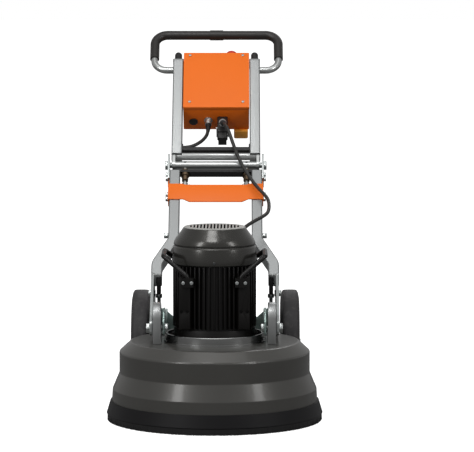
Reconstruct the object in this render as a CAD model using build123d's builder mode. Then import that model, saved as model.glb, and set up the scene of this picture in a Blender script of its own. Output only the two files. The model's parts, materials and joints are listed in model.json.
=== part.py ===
"""Planetary floor grinder: a grinding head with motor, a wheeled frame, and a folding handle.

Millimetres, +Z up, front towards -Y. Sizes are laid out from the grinding head's axis at floor level, and
each piece is moved by HEAD_Y as it is written, so that the origin is under the middle of the machine.
"""
import math
import os

from build123d import *

# ---------------------------------------------------------------- driving dimensions
HEAD_Y = -286.0          # the head's axis, measured from the middle of the machine
LID_Z = 212.0            # top of the shroud
LID_R = 226.0            # edge of the shroud's flat top
SHROUD_R = 255.5         # upper wall of the shroud
BAND_R = 274.0           # lower band of the shroud
SKIRT_R = 290.0          # foot of the rubber skirt
SHEET = 3.0              # shroud sheet thickness

PLATE_BOTTOM, PLATE_TOP = 197.0, 209.0
MOTOR_R = 112.0
FLANGE_TOP = 250.0
HOUSING_TOP = 423.0
FAN_TOP = 520.0
COLLAR_R = 131.5

SATELLITE_RADIUS = 140.0   # distance of each satellite from the head's axis
SATELLITES = 3
CARRIER_R = 240.0
DRIVE_R, DRIVEN_R = 35.0, 62.0      # belt pulleys on the motor and the satellites
FIXED_R, PLANET_R = 82.0, 31.0      # belt pulleys that turn the carrier
BELT_T, BELT_H = 5.0, 14.0
RUN = 0.05                 # radial running clearance

LEAN = 45.0                # the mast leans back this far from upright
FOOT_Y, FOOT_Z = 178.0, 363.0       # front lower corner of the mast
TUBE_W, TUBE_D, TUBE_T = 30.0, 40.0, 3.0
ARM_X, LOWER_X, UPPER_X = 161.0, 116.0, 111.5   # tube centres across the machine
PIVOT_S = 422.0            # handle pivot, measured up the mast
BAR_S = 790.0              # where the handlebar leaves the mast
GRIP_S = 931.0             # the handlebar's cross bar
LEG_X = 181.6
TUBE_TOP_S = 812.0
MID_V = -TUBE_D / 2

PIN_Y, PIN_Z = -43.0, 251.0         # pivot between head and frame
WHEEL_Y, WHEEL_R = 360.0, 153.5
TYRE_IN, TYRE_OUT = 182.0, 234.0
AXLE_R = 10.0

BOX_X, BOX_S0, BOX_S1 = 95.5, 623.0, 838.0
BOX_FRONT, BOX_BACK = 4.0, -92.0
CABLE_R = 5.0

lean = math.radians(LEAN)
MAST = Plane(
    origin=(0, FOOT_Y, FOOT_Z),
    x_dir=(1, 0, 0),
    z_dir=(0, -math.cos(lean), math.sin(lean)),
)  # local x across, local y up the mast, local z out of its front face


def block(x, y, z, mode=Mode.ADD):
    """A box from three (low, high) pairs in the builder's workplane."""
    centre = ((x[0] + x[1]) / 2, (y[0] + y[1]) / 2, (z[0] + z[1]) / 2)
    with Locations(centre):
        Box(x[1] - x[0], y[1] - y[0], z[1] - z[0], mode=mode)


def turned(points, plane=Plane.XZ, axis=Axis.Z, mode=Mode.ADD):
    """A ring turned from a closed outline of (radius, height) points."""
    with BuildSketch(plane) as outline:
        with BuildLine():
            Polyline(*points, close=True)
        make_face()
    revolve(outline.sketch, axis=axis, mode=mode)


def disc(r_in, r_out, z0, z1, centre=(0, 0), mode=Mode.ADD):
    """A washer or disc standing on height z0."""
    with BuildSketch(Plane.XY.offset(z0)) as outline:
        with Locations(centre):
            Circle(r_out)
            if r_in > 0:
                Circle(r_in, mode=Mode.SUBTRACT)
    extrude(outline.sketch, amount=z1 - z0, mode=mode)


def rod_x(r, x0, x1, y, z, r_in=0.0, mode=Mode.ADD):
    """A rod or tube along X."""
    with BuildSketch(Plane.YZ.offset(x0)) as outline:
        with Locations((y, z)):
            Circle(r)
            if r_in > 0:
                Circle(r_in, mode=Mode.SUBTRACT)
    extrude(outline.sketch, amount=x1 - x0, mode=mode)


def hex_x(across, x0, x1, y, z, mode=Mode.ADD):
    """A hexagon head along X."""
    with BuildSketch(Plane.YZ.offset(x0)) as outline:
        with Locations((y, z)):
            RegularPolygon(across / 2, 6, major_radius=False)
    extrude(outline.sketch, amount=x1 - x0, mode=mode)


def mast_point(x, s, v):
    """Row coordinates of a point given across, up the mast and out of its front."""
    point = MAST.from_local_coords(Vector(x, s, v))
    return (point.X, point.Y, point.Z)


def rod_s(r, s0, s1, x, v, r_in=0.0, mode=Mode.ADD):
    """A rod or tube along the mast."""
    start = mast_point(x, s0, v)
    with BuildSketch(Plane(origin=start, x_dir=(1, 0, 0), z_dir=MAST.y_dir)) as outline:
        Circle(r)
        if r_in > 0:
            Circle(r_in, mode=Mode.SUBTRACT)
    extrude(outline.sketch, amount=s1 - s0, mode=mode)


def satellite_centre(index):
    angle = math.radians(90 + 360 / SATELLITES * index)
    return (SATELLITE_RADIUS * math.cos(angle), SATELLITE_RADIUS * math.sin(angle))


def arc_radii(points, share=0.45):
    """The largest arc at each corner that leaves the runs their share."""
    radii = []
    for before, corner, after in zip(points, points[1:], points[2:]):
        run_in = Vector(*corner) - Vector(*before)
        run_out = Vector(*after) - Vector(*corner)
        turn = math.radians(run_in.get_angle(run_out))
        radii.append(share * min(run_in.length, run_out.length) / math.tan(turn / 2))
    return radii


made = []


def keep(builder, label):
    """Labels a finished piece and lists it for export."""
    builder.part.label = label
    made.append(builder.part)


# ================================================================ head: covers
with BuildPart() as shroud:
    with BuildSketch(Plane.XZ) as outer_shape:
        with BuildLine():
            Polyline(
                (0, LID_Z), (LID_R, LID_Z), (SHROUD_R, 185), (SHROUD_R, 129),
                (BAND_R, 85), (276, 50), (276.4, 26), (0, 26), close=True,
            )
        make_face()
        corners = outer_shape.vertices().filter_by(lambda p: p.X > 1 and p.Y > 60)
        fillet(corners, 7)
    revolve(axis=Axis.Z)
    with BuildSketch(Plane.XZ) as inner_shape:
        with BuildLine():
            Polyline(
                (0, LID_Z - SHEET), (LID_R - 1.3, LID_Z - SHEET), (SHROUD_R - SHEET, 183.6),
                (SHROUD_R - SHEET, 128.3), (BAND_R - SHEET, 84.4), (273, 50), (273.4, 26),
                (0, 26), close=True,
            )
        make_face()
        corners = inner_shape.vertices().filter_by(lambda p: p.X > 1 and p.Y > 60)
        fillet(corners, 5)
    revolve(axis=Axis.Z, mode=Mode.SUBTRACT)
    disc(0, 118, LID_Z - 8, LID_Z + 2, mode=Mode.SUBTRACT)
    disc(0, 23, LID_Z - 8, LID_Z + 2, centre=(-75, 165), mode=Mode.SUBTRACT)
keep(shroud, "shroud")

with BuildPart() as skirt_band:
    turned([(276.6, 53), (280, 53), (SKIRT_R, 20), (SKIRT_R - 1, 18), (285.6, 18), (276.6, 47)])
keep(skirt_band, "skirt_band")

with BuildPart() as brush_strip:
    disc(282.5, 288.5, 0.8, 18)
keep(brush_strip, "brush_strip")

with BuildPart() as motor_collar:
    turned([(123, LID_Z), (COLLAR_R + 4, LID_Z), (COLLAR_R + 4, LID_Z + 2.5), (COLLAR_R, LID_Z + 2.5),
            (COLLAR_R, LID_Z + 21), (COLLAR_R - 1.5, LID_Z + 22.5), (COLLAR_R - 4, LID_Z + 22.5),
            (COLLAR_R - 4, LID_Z + 2.5), (123, LID_Z + 2.5)])
keep(motor_collar, "motor_collar")

with BuildPart() as dust_port:
    disc(23, 25, LID_Z, LID_Z + 58, centre=(-75, 165))
    disc(23, 31, LID_Z, LID_Z + 3, centre=(-75, 165))
keep(dust_port, "dust_port")

# ================================================================ head: base plate and bearings
with BuildPart() as base_plate:
    turned([(36, 118), (60, 118), (60, 125), (FIXED_R, 125), (FIXED_R, 143), (60, 143),
            (60, PLATE_BOTTOM), (220, PLATE_BOTTOM), (220, PLATE_TOP), (36, PLATE_TOP)])
    disc(0, 23, PLATE_BOTTOM - 1, PLATE_TOP + 1, centre=(-75, 165), mode=Mode.SUBTRACT)
keep(base_plate, "base_plate")

with BuildPart() as head_bearings:
    disc(60, 75, 160, 180)
    disc(20 + RUN, 36, 186, 202)
    disc(15 + RUN, 31, 407, 419)
keep(head_bearings, "head_bearings")

# ================================================================ head: motor
FIN_COUNT, PAD_TOP = 52, 392.0
with BuildPart() as motor_housing:
    turned([(50, PLATE_TOP), (116, PLATE_TOP), (116, 219), (109, 226), (109, FLANGE_TOP),
            (88, FLANGE_TOP), (88, 226), (50, 226)])
    disc(88, 98, FLANGE_TOP, HOUSING_TOP)
    disc(31, 97, HOUSING_TOP - 18, HOUSING_TOP)
    with PolarLocations(104.5, FIN_COUNT):
        with Locations((0, 0, (FLANGE_TOP + HOUSING_TOP) / 2)):
            Box(14, 3, HOUSING_TOP - FLANGE_TOP - 8)
    for x in (-79, 79):
        for y in (-75, 75):
            block((x - 15, x + 15), (y - 23, y + 23), (FLANGE_TOP + 4, PAD_TOP))
    for x in (-87, -71, 71, 87):
        with Locations(Location((x, -94, 301), (1, 0, 0), 90)):
            Cylinder(4.5, 12, mode=Mode.SUBTRACT)
    disc(0, 88, FLANGE_TOP - 20, HOUSING_TOP - 18, mode=Mode.SUBTRACT)
    block((-30, 30), (92, 112), (320, 390))
keep(motor_housing, "motor_housing")

with BuildPart() as stator:
    disc(55, 88, 275, 385)
    disc(58, 82, 385, 400)
    disc(58, 82, 260, 275)
keep(stator, "stator")

with BuildPart() as fan_cover:
    with BuildSketch(Plane.XZ):
        with BuildLine():
            foot = Polyline((0, HOUSING_TOP), (MOTOR_R, HOUSING_TOP), (MOTOR_R, 466), (108, 469),
                            (108, 471), (109.5, 473))
            dome = Spline(foot @ 1, (107.5, 481), (102.3, 490.5), (94.5, 501), (88, 510), (83, 517.5))
            Polyline(dome @ 1, (79.5, FAN_TOP), (0, FAN_TOP), (0, HOUSING_TOP))
        make_face()
    revolve(axis=Axis.Z)
    with BuildSketch(Plane.XZ):
        with BuildLine():
            foot = Polyline((0, HOUSING_TOP), (MOTOR_R - 2, HOUSING_TOP), (MOTOR_R - 2, 465),
                            (106, 468), (106, 472), (107.3, 474))
            dome = Spline(foot @ 1, (105.4, 480.5), (100.5, 489.5), (92.8, 499.8), (86.4, 508.6),
                          (81.4, 516))
            Polyline(dome @ 1, (78.5, FAN_TOP - 2), (0, FAN_TOP - 2), (0, HOUSING_TOP))
        make_face()
    revolve(axis=Axis.Z, mode=Mode.SUBTRACT)
    SLOT_PITCH, SLOT_W, GRILLE_R = 9.0, 4.4, 72.0
    with BuildSketch(Plane.XY.offset(FAN_TOP - 4)):
        for step in range(-7, 8):
            half = math.sqrt(GRILLE_R**2 - (abs(step) * SLOT_PITCH + SLOT_W / 2) ** 2)
            with Locations(Location((step * SLOT_PITCH, 0, 0))):
                SlotOverall(2 * half, SLOT_W, rotation=90)
    extrude(amount=6, mode=Mode.SUBTRACT)
keep(fan_cover, "fan_cover")

with BuildPart() as terminal_box:
    block((-45, 45), (112, 160), (305, 405))
    fillet(terminal_box.edges().filter_by(Axis.Y), 6)
    block((-40, 40), (118, 160), (310, 400), mode=Mode.SUBTRACT)
    block((-46, 46), (160, 167), (304, 406))
    with BuildSketch(Plane.XY.offset(405)):
        with Locations((36, 138)):
            RegularPolygon(10, 6)
    extrude(amount=8)
    disc(0, 8, 413, 425, centre=(36, 138))
    disc(0, CABLE_R + 0.4, 399, 425, centre=(36, 138), mode=Mode.SUBTRACT)
keep(terminal_box, "terminal_box")

ROD_R, ROD_Y = 6.5, 108.0
with BuildPart() as lift_handles:
    with BuildLine() as rod_path:
        FilletPolyline(
            (71, -ROD_Y, 366), (71, -ROD_Y, 396), (135, -76, 447),
            (135, 76, 447), (71, ROD_Y, 396), (71, ROD_Y, 366), radius=14,
        )
    with BuildSketch(Plane(origin=rod_path.line @ 0, z_dir=rod_path.line % 0)):
        Circle(ROD_R)
    sweep()
    for y in (-ROD_Y, ROD_Y):
        block((55, 87), (y - 10, y + 10), (368, 392))
    mirror(about=Plane.YZ)
keep(lift_handles, "lift_handles")

# ================================================================ head: pivot lugs, stops and fasteners
LUG_IN, LUG_OUT, LUG_HALF, LUG_TOP = 142.0, 163.5, 40.0, 320.0
STOP_Y0, STOP_Y1, STOP_TOP = 114.0, 142.0, 298.0
with BuildPart() as pivot_lugs:
    with BuildSketch(Plane.YZ.offset(LUG_IN)):
        with Locations((PIN_Y, (LID_Z + LUG_TOP - LUG_HALF) / 2)):
            Rectangle(2 * LUG_HALF, LUG_TOP - LUG_HALF - LID_Z)
        with Locations((PIN_Y, LUG_TOP - LUG_HALF)):
            Circle(LUG_HALF)
    extrude(amount=LUG_OUT - LUG_IN)
    for pocket_x in (LUG_IN, LUG_OUT - 7):
        with BuildSketch(Plane.YZ.offset(pocket_x)):
            with Locations((PIN_Y, (LID_Z + 12 + LUG_TOP - LUG_HALF) / 2)):
                Rectangle(2 * LUG_HALF - 18, LUG_TOP - LUG_HALF - LID_Z - 12)
            with Locations((PIN_Y, LUG_TOP - LUG_HALF)):
                Circle(LUG_HALF - 9)
            with Locations((PIN_Y, PIN_Z)):
                Circle(15, mode=Mode.SUBTRACT)
        extrude(amount=7, mode=Mode.SUBTRACT)
    rod_x(8 + RUN, LUG_IN - 1, LUG_OUT + 1, PIN_Y, PIN_Z, mode=Mode.SUBTRACT)
    block((147, 158), (STOP_Y0, STOP_Y1), (LID_Z, STOP_TOP))
    block((LUG_IN, LUG_OUT - 1), (STOP_Y0 - 4, STOP_Y1 + 2), (LID_Z, LID_Z + 6))
    block((147, 158), (-50, STOP_Y1), (LID_Z, LID_Z + 8))
    mirror(about=Plane.YZ)
keep(pivot_lugs, "pivot_lugs")

BUFFER_BOTTOM = 323.0
with BuildPart() as head_bolts:
    for x, y in ((152.5, (STOP_Y0 + STOP_Y1) / 2), (-152.5, (STOP_Y0 + STOP_Y1) / 2)):
        disc(0, 5, STOP_TOP, 312, centre=(x, y))
        disc(0, 9, 312, BUFFER_BOTTOM - 0.5, centre=(x, y))
    for x in (-82, -60, 60, 82):
        for y in (-121, 121):
            with Locations(Location((x, y, 380), (1, 0, 0), 90)):
                Cylinder(4.5, 6)
keep(head_bolts, "head_bolts")

# ================================================================ motor rotor, fan and drive pulley
with BuildPart() as rotor:
    turned([(0, 58), (20, 58), (20, 278), (54, 278), (54, 382), (20, 382), (20, 400), (15, 404),
            (15, 472), (0, 472)])
keep(rotor, "rotor")

with BuildPart() as cooling_fan:
    disc(15, 28, 430, 462)
    disc(27, 84, 430, 434)
    with PolarLocations(55, 9):
        with Locations((0, 0, 446)):
            Box(56, 3, 24.2)
keep(cooling_fan, "cooling_fan")

GROOVE_Z = (62.0, 79.0, 96.0)
with BuildPart() as drive_pulley:
    outline = [(20, 60), (DRIVE_R + 4, 60)]
    for z in GROOVE_Z:
        outline += [(DRIVE_R + 4, z), (DRIVE_R, z), (DRIVE_R, z + 15), (DRIVE_R + 4, z + 15)]
    turned(outline + [(DRIVE_R + 4, 113), (20, 113)])
keep(drive_pulley, "drive_pulley")

# ================================================================ planet carrier and belts
with BuildPart() as carrier_drum:
    turned([(0, 48), (CARRIER_R, 48), (CARRIER_R, 165), (90, 165), (90, 180), (75 + RUN, 180),
            (75 + RUN, 158), (CARRIER_R - 5, 158), (CARRIER_R - 5, 55), (0, 55)])
    for index in range(SATELLITES):
        disc(0, 30, 40, 60, centre=satellite_centre(index), mode=Mode.SUBTRACT)
        disc(0, 26, 150, 170, centre=satellite_centre(index), mode=Mode.SUBTRACT)
keep(carrier_drum, "carrier_drum")

with BuildPart() as spindle_bearings:
    for index in range(SATELLITES):
        disc(15 + RUN, 30, 48, 58, centre=satellite_centre(index))
        disc(15 + RUN, 26, 157, 165, centre=satellite_centre(index))
keep(spindle_bearings, "spindle_bearings")


def belt(centre, r_near, r_far, z):
    """A flat belt round a pulley at the axis and one at centre, a hair clear of both."""
    span = math.hypot(*centre)
    heading = math.degrees(math.atan2(centre[1], centre[0]))
    lean_in = math.asin((r_near - r_far) / span)
    with BuildSketch(Plane.XY.offset(z)) as outline:
        for grow, mode in ((0.1 + BELT_T, Mode.ADD), (0.1, Mode.SUBTRACT)):
            near, far = r_near + grow, r_far + grow
            along, across = math.sin(lean_in), math.cos(lean_in)
            with Locations(Location((0, 0), heading)):
                with BuildLine(mode=Mode.PRIVATE) as sides:
                    Polyline(
                        (near * along, near * across), (span + far * along, far * across),
                        (span + far * along, -far * across), (near * along, -near * across),
                        close=True,
                    )
                with BuildSketch(mode=Mode.PRIVATE) as loop:
                    make_face(sides.wires()[0])
                    Circle(near)
                    with Locations((span, 0)):
                        Circle(far)
                add(loop.sketch, mode=mode)
    extrude(outline.sketch, amount=BELT_H)


with BuildPart() as drive_belts:
    for index, z in enumerate(GROOVE_Z):
        belt(satellite_centre(index), DRIVE_R, DRIVEN_R, z + 0.5)
    belt(satellite_centre(0), FIXED_R, PLANET_R, 127)
keep(drive_belts, "drive_belts")

# ================================================================ satellites and diamond tools
for index in range(SATELLITES):
    centre = satellite_centre(index)
    groove = GROOVE_Z[index]
    with BuildPart() as satellite:
        disc(0, 15, 34, 172, centre=centre)
        disc(0, 108, 22, 34, centre=centre)
        disc(0, DRIVEN_R, groove - 1, groove + 16, centre=centre)
        if index == 0:
            disc(0, PLANET_R, 124, 144, centre=centre)
    keep(satellite, f"satellite_{index + 1}")
    with BuildPart() as tools:
        disc(30, 112, 12, 22, centre=centre)
        for spoke in range(3):
            turn = 90 + 120 * spoke + 120 * index
            with Locations(Location((centre[0], centre[1], 0), (0, 0, 1), turn)):
                for radius in (70, 98):
                    with Locations((radius, 0, 6)):
                        Box(18, 40, 12)
    keep(tools, f"diamond_tools_{index + 1}")

# ================================================================ frame
with BuildPart() as lower_mast_tubes:
    with BuildLine(MAST.offset(MID_V)) as tube_path:
        FilletPolyline((ARM_X, 0), (ARM_X, 52), (LOWER_X, 138), (LOWER_X, 388), radius=42)
    with BuildSketch(Plane(origin=tube_path.line @ 0, x_dir=(1, 0, 0), z_dir=tube_path.line % 0)):
        RectangleRounded(TUBE_W, TUBE_D, 4)
        RectangleRounded(TUBE_W - 2 * TUBE_T, TUBE_D - 2 * TUBE_T, 1.5, mode=Mode.SUBTRACT)
    sweep()
    mirror(about=Plane.YZ)
keep(lower_mast_tubes, "lower_mast_tubes")

SIDE_IN, SIDE_OUT = 165.0, 173.0


def mast_yz(s, v):
    """(Y, Z) of a point on the mast."""
    return mast_point(0, s, v)[1:]


with BuildPart() as side_plates:
    with BuildSketch(Plane.YZ.offset(SIDE_IN)) as side_outline:
        with BuildLine():
            Polyline(
                (-61, 232), (-61, 268), (-30, 284), (104, 379), (148, 379), mast_yz(0, -5),
                mast_yz(36, -5), mast_yz(36, -35), mast_yz(0, -35), (256, 276), (382, 172),
                (384, 134), (338, 134), (240, 232), close=True,
            )
        make_face()
        free = side_outline.vertices().filter_by(lambda p: p.Y < 300 or p.X < 150)
        fillet(free, 12)
    extrude(amount=SIDE_OUT - SIDE_IN)
    rod_x(8, SIDE_IN - 1, SIDE_OUT + 1, PIN_Y, PIN_Z, mode=Mode.SUBTRACT)
    rod_x(AXLE_R, SIDE_IN - 1, SIDE_OUT + 1, WHEEL_Y, WHEEL_R, mode=Mode.SUBTRACT)
    block((145, SIDE_IN), (STOP_Y0 - 4, STOP_Y1 + 2), (370, 376))
    block((160, SIDE_IN), (STOP_Y0 - 4, STOP_Y1 + 2), (345, 370))
    mirror(about=Plane.YZ)
keep(side_plates, "side_plates")

with BuildPart() as inner_plates:
    with BuildSketch(Plane.YZ.offset(133)) as inner_outline:
        with BuildLine():
            Polyline(
                (-62, 232), (-62, 268), (-38, 297), (34, 297), (92, 264), (297.5, 262),
                (297.5, 232), close=True,
            )
        make_face()
        fillet(inner_outline.vertices().filter_by(lambda p: p.X < 200), 10)
    extrude(amount=5)
    rod_x(8, 132, 139, PIN_Y, PIN_Z, mode=Mode.SUBTRACT)
    mirror(about=Plane.YZ)
    with BuildSketch(Plane.XZ.offset(-297.5)):
        with BuildLine():
            Polyline(
                (-SIDE_IN, 190), (-SIDE_IN, 262), (-143, 262), (-116, 238), (116, 238), (143, 262),
                (SIDE_IN, 262), (SIDE_IN, 190), close=True,
            )
        make_face()
    extrude(amount=-5)
keep(inner_plates, "subframe")

with BuildPart() as wheel_axle:
    rod_x(AXLE_R, -TYRE_OUT - 1, TYRE_OUT + 1, WHEEL_Y, WHEEL_R)
    rod_x(16, TYRE_OUT + 0.8, TYRE_OUT + 5, WHEEL_Y, WHEEL_R)
    rod_x(16, -TYRE_OUT - 5, -TYRE_OUT - 0.8, WHEEL_Y, WHEEL_R)
    rod_x(15, SIDE_OUT, TYRE_IN - 1.5, WHEEL_Y, WHEEL_R)
    rod_x(15, 1.5 - TYRE_IN, -SIDE_OUT, WHEEL_Y, WHEEL_R)
keep(wheel_axle, "wheel_axle")

BAR_SIDE = LOWER_X + TUBE_W / 2
with BuildPart() as front_crossbar:
    with BuildSketch(MAST):
        with BuildLine():
            Polyline(
                (-BAR_SIDE, 278), (-92, 278), (-74, 268), (74, 268), (92, 278), (BAR_SIDE, 278),
                (BAR_SIDE, 335), (96, 335), (84, 331), (-84, 331), (-96, 335),
                (-BAR_SIDE, 335), close=True,
            )
        make_face()
    extrude(amount=3)
    for side in (-1, 1):
        with BuildSketch(MAST.offset(-30)):
            with Locations((side * (BAR_SIDE + 1.5), 306.5)):
                Rectangle(3, 57)
        extrude(amount=33)
        with BuildSketch(MAST.offset(-30)):
            with Locations((side * (BAR_SIDE + 1.5), 345)):
                Rectangle(3, 20)
        extrude(amount=22)
keep(front_crossbar, "front_crossbar")

PLUNGER_X = 87.0
with BuildPart(MAST) as pivot_plates:
    for x0 in (BAR_SIDE, -BAR_SIDE - 5):
        block((x0, x0 + 5), (358, 452), (-41, 1))
    plate_ends = pivot_plates.edges().filter_by(Axis.X).group_by(lambda e: MAST.to_local_coords(e.center()).Y)
    fillet(plate_ends[-1], 8)
    rod_x(8, -140, 140, *mast_yz(PIVOT_S, MID_V), mode=Mode.SUBTRACT)
    block((-BAR_SIDE, BAR_SIDE), (389, 397), (-32, -9))
    for side in (-1, 1):
        rod_s(9, 387, 401, side * PLUNGER_X, MID_V, mode=Mode.SUBTRACT)
keep(pivot_plates, "pivot_bracket")

with BuildPart() as plunger_bodies:
    for side in (-1, 1):
        rod_s(9, 364, 403, side * PLUNGER_X, MID_V)
        rod_s(11.5, 380, 388, side * PLUNGER_X, MID_V)
        rod_s(4 + RUN, 363, 404, side * PLUNGER_X, MID_V, mode=Mode.SUBTRACT)
keep(plunger_bodies, "plunger_bodies")

with BuildPart() as frame_bolts:
    for side in (-1, 1):
        low, high = sorted((side * 133, side * SIDE_OUT))
        rod_x(8, low, high, PIN_Y, PIN_Z)
        low, high = sorted((side * SIDE_OUT, side * (SIDE_OUT + 9)))
        hex_x(24, low, high, PIN_Y, PIN_Z)
        low, high = sorted((side * 124, side * 133))
        hex_x(22, low, high, PIN_Y, PIN_Z)
        y, z = mast_yz(PIVOT_S, MID_V)
        rod_x(8, 96 if side > 0 else -BAR_SIDE - 5, BAR_SIDE + 5 if side > 0 else -96, y, z)
        start = BAR_SIDE + 5 if side > 0 else -BAR_SIDE - 13
        hex_x(24, start, start + 8, y, z)
        for s in (372, 386):
            start = BAR_SIDE + 5 if side > 0 else -BAR_SIDE - 11
            hex_x(14, start, start + 6, *mast_yz(s, MID_V))
        for s in (292, 308):
            start = BAR_SIDE + 3 if side > 0 else -BAR_SIDE - 10
            hex_x(13, start, start + 7, *mast_yz(s, -14))
        start = BAR_SIDE if side > 0 else -BAR_SIDE - 12
        hex_x(14, start, start + 12, *mast_yz(158, -14))
        low, high = sorted((side * SIDE_OUT, side * (SIDE_OUT + 8)))
        hex_x(17, low, high, 132, 324)
        low, high = sorted((side * (SIDE_IN - 3), side * SIDE_IN))
        hex_x(17, low, high, 132, 324)
keep(frame_bolts, "frame_bolts")

with BuildPart() as rubber_buffers:
    block((147, 158.5), (STOP_Y0 - 2, STOP_Y1), (BUFFER_BOTTOM, 370))
    mirror(about=Plane.YZ)
keep(rubber_buffers, "rubber_buffers")

# ================================================================ wheels
for side, name in ((-1, "left"), (1, "right")):
    inner, outer = sorted((side * TYRE_IN, side * TYRE_OUT))
    middle = (inner + outer) / 2
    with BuildPart() as tyre:
        with BuildSketch(Plane.XZ.offset(-WHEEL_Y)) as tread:
            with Locations((middle, WHEEL_R + (108 + WHEEL_R) / 2)):
                Rectangle(outer - inner, WHEEL_R - 108)
            fillet(tread.vertices().group_by(Axis.Y)[-1], 13)
            fillet(tread.vertices().group_by(Axis.Y)[0], 4)
        revolve(axis=Axis((0, WHEEL_Y, WHEEL_R), (1, 0, 0)))
    keep(tyre, f"tyre_{name}")
    with BuildPart() as hub:
        rod_x(107.9, middle - 22, middle + 22, WHEEL_Y, WHEEL_R, r_in=100)
        rod_x(101, middle - 5, middle + 5, WHEEL_Y, WHEEL_R, r_in=25)
        rod_x(27, inner, outer, WHEEL_Y, WHEEL_R)
        rod_x(AXLE_R + RUN, inner - 1, outer + 1, WHEEL_Y, WHEEL_R, mode=Mode.SUBTRACT)
        for spoke in range(6):
            turn = math.radians(60 * spoke + 30)
            rod_x(15, middle - 6, middle + 6, WHEEL_Y + 64 * math.cos(turn),
                  WHEEL_R + 64 * math.sin(turn), mode=Mode.SUBTRACT)
    keep(hub, f"wheel_hub_{name}")

# ================================================================ lock plungers
for side, name in ((-1, "left"), (1, "right")):
    with BuildPart() as plunger:
        rod_s(4, 346, PIVOT_S - 12.8, side * PLUNGER_X, MID_V)
        rod_s(8, 344, 354, side * PLUNGER_X, MID_V)
        rod_x(3, side * PLUNGER_X - 13, side * PLUNGER_X + 13, *mast_yz(349, MID_V))
    keep(plunger, f"lock_plunger_{name}")

# ================================================================ handle: mast and bar
with BuildPart(MAST) as upper_mast_tubes:
    for side in (-1, 1):
        with BuildSketch(Plane(origin=mast_point(side * UPPER_X, 452, MID_V), x_dir=(1, 0, 0),
                               z_dir=MAST.y_dir)):
            RectangleRounded(TUBE_W, TUBE_D, 4)
            RectangleRounded(TUBE_W - 2 * TUBE_T, TUBE_D - 2 * TUBE_T, 1.5, mode=Mode.SUBTRACT)
        extrude(amount=TUBE_TOP_S - 452)
    for side in (-1, 1):
        with BuildSketch(Plane(origin=mast_point(side * UPPER_X, TUBE_TOP_S, MID_V),
                               x_dir=(1, 0, 0), z_dir=MAST.y_dir)):
            RectangleRounded(TUBE_W + 1, TUBE_D + 1, 4)
        extrude(amount=6)
        low, high = sorted((side * 99.5, side * 115.3))
        start = mast_point((low + high) / 2, 452, MID_V)
        with BuildSketch(Plane(origin=start, x_dir=(1, 0, 0), z_dir=MAST.y_dir)):
            Rectangle(high - low, TUBE_D - 2 * TUBE_T)
        extrude(amount=3)
    cross_end = UPPER_X + TUBE_W / 2
    rod_x(11, -cross_end, cross_end, *mast_yz(456, MID_V))
    rod_x(8, -cross_end, cross_end, *mast_yz(456, MID_V), mode=Mode.SUBTRACT)
    block((-96.5, 96.5), (469, 480), (-32, -6))
    block((-96.5, -93.4), (480, 492), (-18, -6))
    block((93.4, 96.5), (480, 492), (-18, -6))
keep(upper_mast_tubes, "upper_mast")

with BuildPart() as bump_stops:
    for side in (-1, 1):
        with BuildSketch(Plane(origin=mast_point(side * UPPER_X, TUBE_TOP_S + 6, MID_V + 8),
                               x_dir=(1, 0, 0), z_dir=MAST.y_dir)):
            Circle(10.5)
        extrude(amount=32)
    fillet(bump_stops.edges().filter_by(GeomType.CIRCLE).group_by(Axis.Z)[-1], 9)
keep(bump_stops, "bump_stops")

FOLD_MIN, FOLD_MAX = -30.0, 110.0
with BuildPart() as pivot_tube:
    for side in (-1, 1):
        x0 = 115.5 if side > 0 else -123.4
        with BuildSketch(Plane.YZ.offset(x0)):
            with BuildLine():
                Polyline(mast_yz(PIVOT_S, -35.2), mast_yz(PIVOT_S, -4.8), mast_yz(500, -4.8),
                         mast_yz(500, -35.2), close=True)
            make_face()
            with Locations(mast_yz(PIVOT_S, MID_V)):
                Circle(15.2)
        extrude(amount=7.9)
    rod_x(12, -115.5, 115.5, *mast_yz(PIVOT_S, MID_V))
    rod_x(9, -114, 114, *mast_yz(PIVOT_S, MID_V), mode=Mode.SUBTRACT)
    rod_x(8 + RUN, -130, 130, *mast_yz(PIVOT_S, MID_V), mode=Mode.SUBTRACT)
    rod_x(11 + RUN, -130, 130, *mast_yz(456, MID_V), mode=Mode.SUBTRACT)
    for side in (-1, 1):
        for fold in (0.0, FOLD_MIN, FOLD_MAX):
            turn = math.radians(180 + LEAN - fold)
            hole = Plane(origin=mast_point(side * PLUNGER_X, PIVOT_S, MID_V), x_dir=(1, 0, 0),
                         z_dir=(0, math.cos(turn), math.sin(turn)))
            with BuildSketch(hole):
                Circle(4.6)
            extrude(amount=20, mode=Mode.SUBTRACT)
keep(pivot_tube, "pivot_tube")

with BuildPart() as handlebar:
    with BuildLine(MAST.offset(MID_V)) as bar_path:
        FilletPolyline(
            (UPPER_X + 15.1, BAR_S), (LEG_X, BAR_S), (LEG_X, GRIP_S), (-LEG_X, GRIP_S),
            (-LEG_X, BAR_S), (-UPPER_X - 15.1, BAR_S), radius=38,
        )
    with BuildSketch(Plane(origin=bar_path.line @ 0, z_dir=bar_path.line % 0)):
        Circle(10)
        Circle(8, mode=Mode.SUBTRACT)
    sweep()
keep(handlebar, "handlebar")

with BuildPart() as handle_grips:
    with BuildLine(MAST.offset(MID_V)) as grip_path:
        FilletPolyline((LEG_X, 834), (LEG_X, GRIP_S), (19.5, GRIP_S), radius=38)
    with BuildSketch(Plane(origin=grip_path.line @ 0, z_dir=grip_path.line % 0)):
        Circle(13.5)
        Circle(10.05, mode=Mode.SUBTRACT)
    sweep()
    mirror(about=Plane.YZ)
    rod_x(15.2, -19.5, 19.5, *mast_yz(GRIP_S, MID_V), r_in=10.05)
keep(handle_grips, "handle_grips")

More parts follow.
